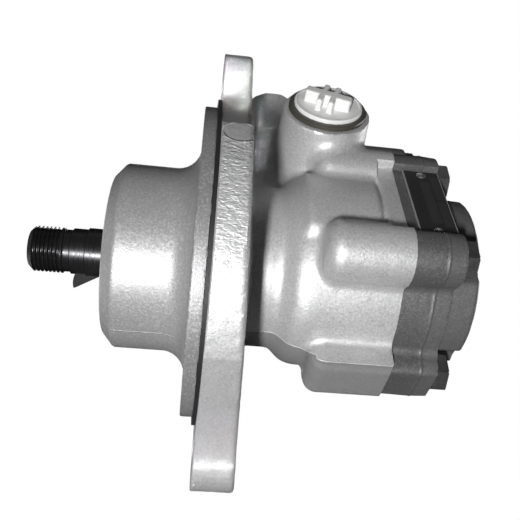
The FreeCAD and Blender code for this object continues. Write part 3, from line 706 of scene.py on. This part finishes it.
def front_at(x, rho):
    """Hub and pilot, with the wall that carries the ring between pilot and flange."""
    cone = ((x - CONE_X) * -CONE_RUN + (rho - HUB_RADIUS) * CONE_RISE) / CONE_LENGTH
    hub = both(both(rho - HUB_RADIUS, cone, 0.7), HUB_FRONT - x, 0.4)
    hub = np.maximum(hub, x - WALL_HALF_THICKNESS)
    pilot = both(both(rho - PILOT_RADIUS, PILOT_FRONT - x, 0.6), x - PILOT_REAR, 0.2)
    wall = np.maximum(-WALL_HALF_THICKNESS - x, x - WALL_HALF_THICKNESS)
    wall = np.maximum(rho - SEAL_FLOOR_RADIUS, wall)
    return np.minimum(either(hub, pilot, 9.0), wall)


def flange_at(x, y, z):
    """Flange with its ears. The rear face falls away to the rim like a low roof, and is slightly uneven."""
    outline = outline_distance(FLANGE_POINTS, y, z)
    ridge = np.sqrt(y * y + ROOF_RIDGE_HALF ** 2)
    behind = (x - FLANGE_REAR + z * ROOF_SLOPE_Z + ridge * ROOF_SLOPE_Y) * SLANT
    uneven = 0.06 * ripple(x, y, z, 5.0) + 0.05 * ripple(x, y, z, 11.0)
    return both(both(outline + uneven, -x, 0.5), behind + uneven, 1.6)


def barrel_at(x, y, z, rho):
    """Barrel with its lobes, the swell between the upper lobes, the plate's flat and the suction boss."""
    radius = np.interp(x, PROFILE_X, BODY_RADIUS)
    slope = np.interp(x, PROFILE_X, BODY_SLOPE)
    barrel = (rho - radius) / np.sqrt(1 + slope * slope)
    for angle in LOBES:
        t, s = turned_to(angle, y, z)
        lobe = np.hypot(t - LOBE_DISTANCE, s) - LOBE_RADIUS
        if angle == LOWER_LOBE:
            lobe = flat_lobe(lobe, y, z)
        lobe = both(lobe, LOBE_NOSE_X - x, 6.0)
        barrel = either(barrel, lobe, 3.0)
    t, s = turned_to(SUCTION_ANGLE, y, z)
    swell = both(np.hypot(t, s) - SWELL_RADIUS, np.abs(s) - SWELL_HALF, 3.0)
    swell = both(swell, np.maximum(SWELL_FRONT - x, x - SWELL_REAR), 2.0)
    barrel = either(barrel, swell, 2.5)
    pad_front = PAD_FRONT - x
    pad_block = both(both(np.abs(s) - FACET_HALF, t - FACET, 0.8), pad_front, 1.0)
    pad_block = np.maximum(pad_block, INNER_REACH - t)
    barrel = either(barrel, pad_block, 0.8)
    air = np.maximum(np.maximum(FACET - t, np.abs(s) - FACET_HALF), pad_front)
    barrel = both(barrel, -air, 0.6)
    boss_radius = SUCTION_RADIUS + (SUCTION_RADIUS_AT - t) * SUCTION_TAPER
    boss = (np.hypot(s - SUCTION_SIDE, x - SUCTION_X) - boss_radius) * SLANT
    boss = np.maximum(both(boss, t - SUCTION_TOP, 0.8), INNER_REACH - t)
    return either(barrel, boss, 4.0)


def gallery_at(x, y, z):
    """Valve gallery on its web, with the pressure port's boss."""
    t, s = turned_to(GALLERY_ANGLE, y, z)
    bar = np.hypot(t - GALLERY_DISTANCE, s) - GALLERY_RADIUS
    bar = both(both(bar, GALLERY_FRONT - x, 2.0), x - GALLERY_REAR, 0.6)
    web_front = np.maximum(WEB_INNER - t, GALLERY_FRONT - x)
    web = np.maximum(np.maximum(np.abs(s) - WEB_HALF, t - GALLERY_DISTANCE), web_front)
    web = both(web, x - SPLIT_X, 0.3)
    port = both(np.hypot(s, x - PRESSURE_X) - PRESSURE_RADIUS, t - PRESSURE_TOP, 0.7)
    port = np.maximum(port, GALLERY_DISTANCE - t)
    return either(either(bar, web, 3.0), port, 4.0)


def housing_at(x, y, z):
    rho = np.hypot(y, z)
    rear = np.maximum(barrel_at(x, y, z, rho), x - SPLIT_X)
    rear = either(rear, gallery_at(x, y, z), 7.0)
    rear = np.maximum(rear, REAR_START - x)
    rear = rear + 0.03 * ripple(x, y, z, 9.0)
    rear = np.maximum(rear, np.where(rho < REAR_FACE_RADIUS, x - SPLIT_X, FAR_INSIDE))
    return np.minimum(front_at(x, rho), either(flange_at(x, y, z), rear, 3.0))


# Bores of the housing
BOLT_THREAD_RADIUS = 4.03
SUCTION_BORE_RADIUS = 13.0
SUCTION_SEAT_RADIUS = 14.23
SUCTION_PIPE_RADIUS = 5.0
SUCTION_PIPE_TURN = 63.6


def housing_cutters():
    """Shaft line, bolt holes, suction bore and pipe, valve bore and pressure port."""
    shaft_line = [
        (-40, 0), (-40, 23.5), (-25.3, 23.5), (-25.3, 24.7), (-23.5, 24.7), (-23.5, 23.5), (-9.5, 23.5),
        (-9.5, 12.8), (-6.2, 12.8), (-6.2, 8.8), (28.3, 8.8), (28.3, 31.0), (70, 31.0), (70, 0),
    ]
    cutters = [lathe("bore_line", shaft_line, segments=160)]
    for z in (EAR_HOLE_Z, -EAR_HOLE_Z):
        cutters.append(drill("ear_hole", EAR_HOLE_RADIUS, -3, 20, (0, 0, z), segments=72))
    suction = [
        (38, 0), (38, SUCTION_BORE_RADIUS), (SUCTION_SEAT, SUCTION_BORE_RADIUS),
        (SUCTION_SEAT, SUCTION_SEAT_RADIUS), (52, SUCTION_SEAT_RADIUS), (52, 0),
    ]
    cutters.append(lathe("suction_line", suction, suction_point(0), clock(SUCTION_ANGLE, 1), segments=96))
    start = suction_point(39)
    pipe = clock(SUCTION_ANGLE + SUCTION_PIPE_TURN, 30.0, 46.0) - start
    cutters.append(drill("suction_pipe", SUCTION_PIPE_RADIUS, 0, pipe.length, start, pipe))
    valve = [(18, 0), (18, 6.4), (32, 6.4), (32, 8.0), (85, 8.0), (85, 0)]
    cutters.append(lathe("valve_line", valve, clock(GALLERY_ANGLE, GALLERY_DISTANCE), segments=80))
    port = [
        (GALLERY_DISTANCE, 0), (GALLERY_DISTANCE, 4.0), (62.7, 4.0), (62.7, 7.3), (82.7, 7.3), (82.7, 9.3),
        (86, 9.3), (86, 0),
    ]
    cutters.append(lathe("port_line", port, (PRESSURE_X, 0, 0), clock(GALLERY_ANGLE, 1), segments=80))
    for angle in LOBES:
        centre = clock(angle, LOBE_DISTANCE)
        cutters.append(drill("bolt_line", BOLT_THREAD_RADIUS, 43.3, 70, centre, segments=40))
    return cutters


def build_housing():
    pitch = 0.98
    pilot_lines = (-7.2, 1.2, 0.45)
    xs = steps(-39.3, 84.0, pitch, (pilot_lines,))
    ys = steps(-68.2, 68.0, pitch)
    zs = steps(-89.4, 89.0, pitch)
    mesh = surface("housing_casting", housing_at, xs, ys, zs)
    return cut(mesh, housing_cutters())


add("housing_casting", build_housing(), "casing", ALUMINIUM, ("housing",))


# Rear cover casting
COVER_SEAM_X = 80.0
COVER_RADIUS = 37.4
COVER_LOBE_RADIUS = 10.2
COVER_UNDERSIDE = 45.4
COVER_DRAFT_FRONT = 0.02
COVER_DRAFT_REAR = 0.055
COVER_LIP = 0.16
COVER_LIP_SPREAD = 0.45
COVER_BOSS_RADIUS = 34.0
COVER_BOSS_TAPER = 0.04
COVER_BOSS_START = 75
COVER_REAR = 98.0
BOSS_FLAT_ANGLE = -94.0
BOSS_FLAT = 31.7
HEAD_ROOM_RADIUS = 8.8
BUSH_RADIUS = 11.03
BUSH_END = 82.1
BOLT_HOLE_RADIUS = 4.5
DOWEL_RADIUS = 2.53
DOWEL_DISTANCE = 28.0
DOWEL_END = 74.3


def cover_plate_at(x, y, z, rho):
    """Lobed plate with a lip at its seam and drafted sides."""
    behind_seam = x - COVER_SEAM_X
    draft_rear = (COVER_SEAM_X - x) * COVER_DRAFT_REAR
    draft = np.where(x < COVER_SEAM_X, behind_seam * COVER_DRAFT_FRONT, draft_rear)
    lip = COVER_LIP * np.exp(-(behind_seam / COVER_LIP_SPREAD) ** 2)
    plate = rho - COVER_RADIUS
    for angle in LOBES:
        t, s = turned_to(angle, y, z)
        lobe = np.hypot(t - LOBE_DISTANCE, s) - COVER_LOBE_RADIUS
        if angle == LOWER_LOBE:
            lobe = both(lobe, turned_to(UNDERSIDE_ANGLE, y, z)[0] - COVER_UNDERSIDE, 0.8)
        plate = either(plate, lobe, 3.0)
    t, s = turned_to(SUCTION_ANGLE, y, z)
    pad = both(np.abs(s) - FACET_HALF, t - FACET, 0.6)
    plate = np.minimum(plate, np.maximum(pad, INNER_REACH - t)) - draft - lip
    air = np.maximum(FACET - t, np.abs(s) - FACET_HALF)
    plate = both(plate, -air, 0.5)
    return both(np.maximum(plate, SPLIT_X - x), x - SEAT_X, 0.5)


def cover_boss_at(x, y, z, rho):
    """Round rear boss with a flat, and room for the bolt heads."""
    boss = both(rho - COVER_BOSS_RADIUS + (x - SEAT_X) * COVER_BOSS_TAPER, x - COVER_REAR, 1.8)
    t = turned_to(BOSS_FLAT_ANGLE, y, z)[0]
    boss = both(boss, t - BOSS_FLAT, 0.5)
    for angle in LOBES:
        t, s = turned_to(angle, y, z)
        spot = np.maximum(np.hypot(t - LOBE_DISTANCE, s) - HEAD_ROOM_RADIUS, SEAT_X - x)
        boss = both(boss, -spot, 0.8)
    return np.maximum(boss, COVER_BOSS_START - x)


def cover_at(x, y, z):
    rho = np.hypot(y, z)
    cover = either(cover_plate_at(x, y, z, rho), cover_boss_at(x, y, z, rho), 1.5)
    return cover + 0.04 * ripple(x, y, z, 6.0)


def cover_cutters():
    cutters = [drill("bush_line", BUSH_RADIUS, 66, BUSH_END, segments=80)]
    for angle in LOBES:
        cutters.append(drill("bolt_line", BOLT_HOLE_RADIUS, 66, 88, clock(angle, LOBE_DISTANCE)))
    for angle in (0, 180):
        centre = clock(angle, DOWEL_DISTANCE)
        cutters.append(drill("dowel_line", DOWEL_RADIUS, 66, DOWEL_END, centre, segments=32))
    return cutters


def build_cover():
    seam_lines = (78.8, 81.2, 0.3)
    xs = steps(67.0, 99.5, 0.65, (seam_lines,))
    across = steps(-52.0, 52.0, 0.75)
    mesh = surface("cover_casting", cover_at, xs, across, across)
    return cut(mesh, cover_cutters())


add("cover_casting", build_cover(), "casing", IRON, ("rear_cover",))


# Suction port's ring and transport cap
CAP_TURN = math.radians(20.0)
CAP_TOP = 57.3
CAP_RADIUS = 13.6
CAP_RIM_TOP = 53.0
CAP_RIM_BOTTOM = 51.42
DISH_RADIUS = 12.4
DISH_FLOOR = 52.6
STEM_RADIUS = 12.0
STEM_HALF_WALL = 0.7
STEM_TOP = 52.0
STEM_END = 43.4
GRIP_START = 52.2
GRIP_SHIFT = (0.4, 0.5)
BRIDGE_HALF_LENGTH = 9.3
BRIDGE_HALF_WIDTH = 2.35
BRIDGE_POINT = 10.8
BRIDGE_TAPER = 0.75
BRIDGE_SLANT = 1.25
LEG_DISTANCE = 2.3
LEG_HALF_WIDTH = 1.15
LEG_HALF_LENGTH = 7.1
CAP_GRID_REACH = 17.5
CAP_GRID_PITCH = 0.36


def cap_at(x, y, z):
    """Dished rim on a hollow stem, with a raised grip of one bridge and two legs."""
    t, s = turned_to(SUCTION_ANGLE, y, z)
    side, along = s - SUCTION_SIDE, x - SUCTION_X
    reach = np.hypot(side, along)
    rim = both(both(reach - CAP_RADIUS, t - CAP_RIM_TOP, 0.6), CAP_RIM_BOTTOM - t, 0.15)
    dish = np.maximum(reach - DISH_RADIUS, DISH_FLOOR - t)
    rim = both(rim, -dish, 0.3)
    stem = np.maximum(np.abs(reach - STEM_RADIUS) - STEM_HALF_WALL, np.maximum(STEM_END - t, t - STEM_TOP))
    a = np.abs(along * math.cos(CAP_TURN) - side * math.sin(CAP_TURN) + GRIP_SHIFT[0])
    b = np.abs(side * math.cos(CAP_TURN) + along * math.sin(CAP_TURN) + GRIP_SHIFT[1])
    bridge = both(b - BRIDGE_HALF_WIDTH, (a + BRIDGE_TAPER * b - BRIDGE_POINT) / BRIDGE_SLANT, 0.5)
    bridge = both(bridge, a - BRIDGE_HALF_LENGTH, 0.7)
    legs = both(np.abs(a - LEG_DISTANCE) - LEG_HALF_WIDTH, b - LEG_HALF_LENGTH, 0.6)
    grip = both(either(bridge, legs, 0.6), t - CAP_TOP, 0.8)
    grip = np.maximum(grip, GRIP_START - t)
    return np.minimum(either(rim, grip, 0.5), stem)


def build_cap():
    grid = [steps(c - CAP_GRID_REACH, c + CAP_GRID_REACH, CAP_GRID_PITCH) for c in suction_point(51)]
    return surface("cap_moulding", cap_at, *grid)


add("cap_moulding", build_cap(), "cap", CAP_PLASTIC, ("port_cap",), smooth_deg=30)
RING_PROFILE = [
    (SUCTION_SEAT, 13.0), (SUCTION_SEAT, 14.2), (SUCTION_TOP, 14.2), (SUCTION_TOP, 15.35), (49.5, 15.5),
    (50.0, 15.5), (50.15, 15.25), (50.3, 15.25), (50.45, 15.5), (51.1, 15.4), (51.4, 15.0), (51.4, 13.0),
    (SUCTION_SEAT, 13.0),
]
ring_mesh = lathe("ring_moulding", RING_PROFILE, suction_point(0), clock(SUCTION_ANGLE, 1))
add("ring_moulding", ring_mesh, "casing", RING_PLASTIC, ("suction_ring",), smooth_deg=30)


# Drive shaft with a real thread, in (x, radius) points
THREAD_PITCH = 1.5
THREAD_DEPTH = 0.85
THREAD_RADIUS = 8.9
THREAD_END = -55.4
THREAD_RUNOUT = 1.2
THREAD_ROOT_SHARE = 0.12
THREAD_FLANK_SHARE = 0.76
SHAFT_TIP = -68.4
SHAFT_SEGMENTS = 96
THREADED_END = [
    (SHAFT_TIP, 6.9), (-66.4, 8.9), (-55.6, 8.9), (-55.1, 8.2), (-52.8, 8.2), (-52.4, 8.9), (-47.0, 8.9),
    (-46.6, 9.5),
]
PLAIN_END = [
    (-46.4, 9.5), (-24.4, 9.5), (-24.4, 10.0), (-9.5, 10.0), (-9.5, 12.5), (-6.5, 12.5), (-6.5, 8.5),
    (79.0, 8.5), (79.5, 8.0),
]
CENTRE_RADIUS = 3.2
CENTRE_DEPTH_X = -65.4
KEY_ANGLE = -99.0
KEY_DISTANCE = 11.7
KEY_X = -43.2
KEY_HALF_WIDTH = 2.55
KEY_SEAT_RADIUS = 8.05


def shaft_radius(x, turn):
    """Radius at x and at a share of one turn round the axis."""
    base = np.interp(x, *zip(*THREADED_END))
    if x >= THREAD_END:
        return base
    phase = (x / THREAD_PITCH - turn) % 1.0
    crest = abs(phase - 0.5) * 2
    crest = min(max((crest - THREAD_ROOT_SHARE) / THREAD_FLANK_SHARE, 0), 1)
    fade = min(max((THREAD_END - x) / THREAD_RUNOUT, 0), 1)
    return min(base, THREAD_RADIUS - THREAD_DEPTH * (1 - crest) * fade)


def shaft_mesh():
    segments = SHAFT_SEGMENTS
    bm = bmesh.new()

    def ring(x, radii):
        return [bm.verts.new(ring_point(x, r, i, segments) * MM) for i, r in enumerate(radii)]

    rings = []
    threaded = np.arange(SHAFT_TIP, THREAD_END, 0.125)
    relief = np.arange(THREAD_END, PLAIN_END[0][0], 0.2)
    for x in np.concatenate((threaded, relief)):
        rings.append(ring(x, [shaft_radius(x, i / segments) for i in range(segments)]))
    for x, radius in PLAIN_END:
        rings.append(ring(x, [radius] * segments))
    for first, second in zip(rings, rings[1:]):
        for i in range(segments):
            j = (i + 1) % segments
            bm.faces.new((first[i], second[i], second[j], first[j]))
    bm.faces.new(rings[-1])
    tip = ring(SHAFT_TIP, [CENTRE_RADIUS] * segments)
    pit = bm.verts.new(Vector((CENTRE_DEPTH_X, 0, 0)) * MM)
    for i in range(segments):
        j = (i + 1) % segments
        bm.faces.new((rings[0][i], rings[0][j], tip[j], tip[i]))
        bm.faces.new((tip[i], tip[j], pit))
    mesh = finished(bm, "threaded_shaft")
    centre = clock(KEY_ANGLE, KEY_DISTANCE, KEY_X)
    side = clock(KEY_ANGLE + 90.0, 1)
    seat = drill("key_seat", KEY_SEAT_RADIUS, -KEY_HALF_WIDTH, KEY_HALF_WIDTH, centre, side, segments)
    return cut(mesh, [seat])


add("threaded_shaft", shaft_mesh(), "shaft", BLACK_STEEL, ("drive_shaft",), smooth_deg=40)


# Camera, fitted to the photograph. Angles are radians
CAMERA_PLACE = (-4.75, -261.74, -41.46)
CAMERA_YAW = 0.0955
CAMERA_PITCH = 0.0098
CAMERA_ROLL = 0.0832
CAMERA_TILT = math.radians(9.0)
CAMERA_LENS = 46.076
CAMERA_SENSOR = 36.0


def camera():
    flat = math.cos(CAMERA_PITCH)
    forward = Vector((math.sin(CAMERA_YAW) * flat, math.cos(CAMERA_YAW) * flat, math.sin(CAMERA_PITCH)))
    level = forward.cross(Vector((0, 0, 1))).normalized()
    upward = level.cross(forward)
    right = level * math.cos(CAMERA_ROLL) + upward * math.sin(CAMERA_ROLL)
    up = upward * math.cos(CAMERA_ROLL) - level * math.sin(CAMERA_ROLL)
    tilt = Matrix.Rotation(CAMERA_TILT, 3, "X")
    data = bpy.data.cameras.new("camera")
    data.sensor_width = CAMERA_SENSOR
    data.lens = CAMERA_LENS
    data.clip_start = 0.01
    obj = bpy.data.objects.new("camera", data)
    bpy.context.scene.collection.objects.link(obj)
    axes = Matrix((tilt @ right, tilt @ up, tilt @ -forward)).transposed().to_4x4()
    obj.matrix_world = Matrix.Translation(Vector(CAMERA_PLACE) * MM) @ axes
    bpy.context.scene.camera = obj


camera()


# Light and surroundings. Places and sizes are metres and powers are watts
FLOOR_Z = -1.0
FLOOR_GREY = 0.25
SKY_FILL = 0.01


def area_light(name, place, target, size, power, spread_deg=180):
    data = bpy.data.lights.new(name, "AREA")
    data.shape = "RECTANGLE"
    data.size, data.size_y = size
    data.energy = power
    data.spread = math.radians(spread_deg)
    obj = bpy.data.objects.new(name, data)
    bpy.context.scene.collection.objects.link(obj)
    obj.location = place
    obj.rotation_euler = (Vector(target) - Vector(place)).to_track_quat("-Z", "Y").to_euler()


def for_camera_and_rest(tree, seen, unseen, output_kind):
    """One shader for what the camera sees, another for all other light."""
    path = tree.nodes.new("ShaderNodeLightPath")
    mix = tree.nodes.new("ShaderNodeMixShader")
    out = tree.nodes.new(output_kind)
    tree.links.new(path.outputs["Is Camera Ray"], mix.inputs[0])
    tree.links.new(unseen.outputs[0], mix.inputs[1])
    tree.links.new(seen.outputs[0], mix.inputs[2])
    tree.links.new(mix.outputs[0], out.inputs[0])


def world():
    studio = bpy.data.worlds.new("studio")
    bpy.context.scene.world = studio
    studio.use_nodes = True
    tree = studio.node_tree
    tree.nodes.clear()
    seen = tree.nodes.new("ShaderNodeBackground")
    seen.inputs["Color"].default_value = (1, 1, 1, 1)
    fill = tree.nodes.new("ShaderNodeBackground")
    fill.inputs["Color"].default_value = (1, 1, 1, 1)
    fill.inputs["Strength"].default_value = SKY_FILL
    for_camera_and_rest(tree, seen, fill, "ShaderNodeOutputWorld")


def floor():
    bm = bmesh.new()
    bmesh.ops.create_grid(bm, x_segments=2, y_segments=2, size=4.0)
    mesh = bpy.data.meshes.new("floor")
    bm.to_mesh(mesh)
    bm.free()
    obj = bpy.data.objects.new("floor", mesh)
    obj.location = (0, 0, FLOOR_Z)
    bpy.context.scene.collection.objects.link(obj)
    material = bpy.data.materials.new("pale_floor")
    material.use_nodes = True
    tree = material.node_tree
    tree.nodes.clear()
    diffuse = tree.nodes.new("ShaderNodeBsdfDiffuse")
    diffuse.inputs["Color"].default_value = (FLOOR_GREY, FLOOR_GREY, FLOOR_GREY, 1)
    glow = tree.nodes.new("ShaderNodeEmission")
    for_camera_and_rest(tree, glow, diffuse, "ShaderNodeOutputMaterial")
    mesh.materials.append(material)


world()
floor()
area_light("key", (-0.118, -0.550, -0.225), (0.015, 0, 0), (0.035, 0.08), 4.3)
area_light("back", (0.12, 0.80, 0.20), (0.03, 0, 0), (0.5, 0.5), 3.6)
area_light("rear_side", (0.75, 0.35, 0.1), (0.03, 0, 0), (0.4, 0.4), 2.2)
area_light("front_side", (-0.65, 0.55, 0.05), (0, 0, 0), (0.4, 0.4), 1.3)
area_light("upper_ear", (-0.070, -0.400, 0.235), (0.000, -0.0145, 0.070), (0.02, 0.02), 0.0018, 4.0)
area_light("lower_ear", (-0.060, -0.400, -0.105), (0.002, -0.025, -0.069), (0.02, 0.02), 0.0012, 6)
area_light("top", (0.1, -0.1, 0.9), (0, 0, 0), (0.6, 0.6), 0.3)

bpy.context.scene.view_settings.view_transform = "Standard"
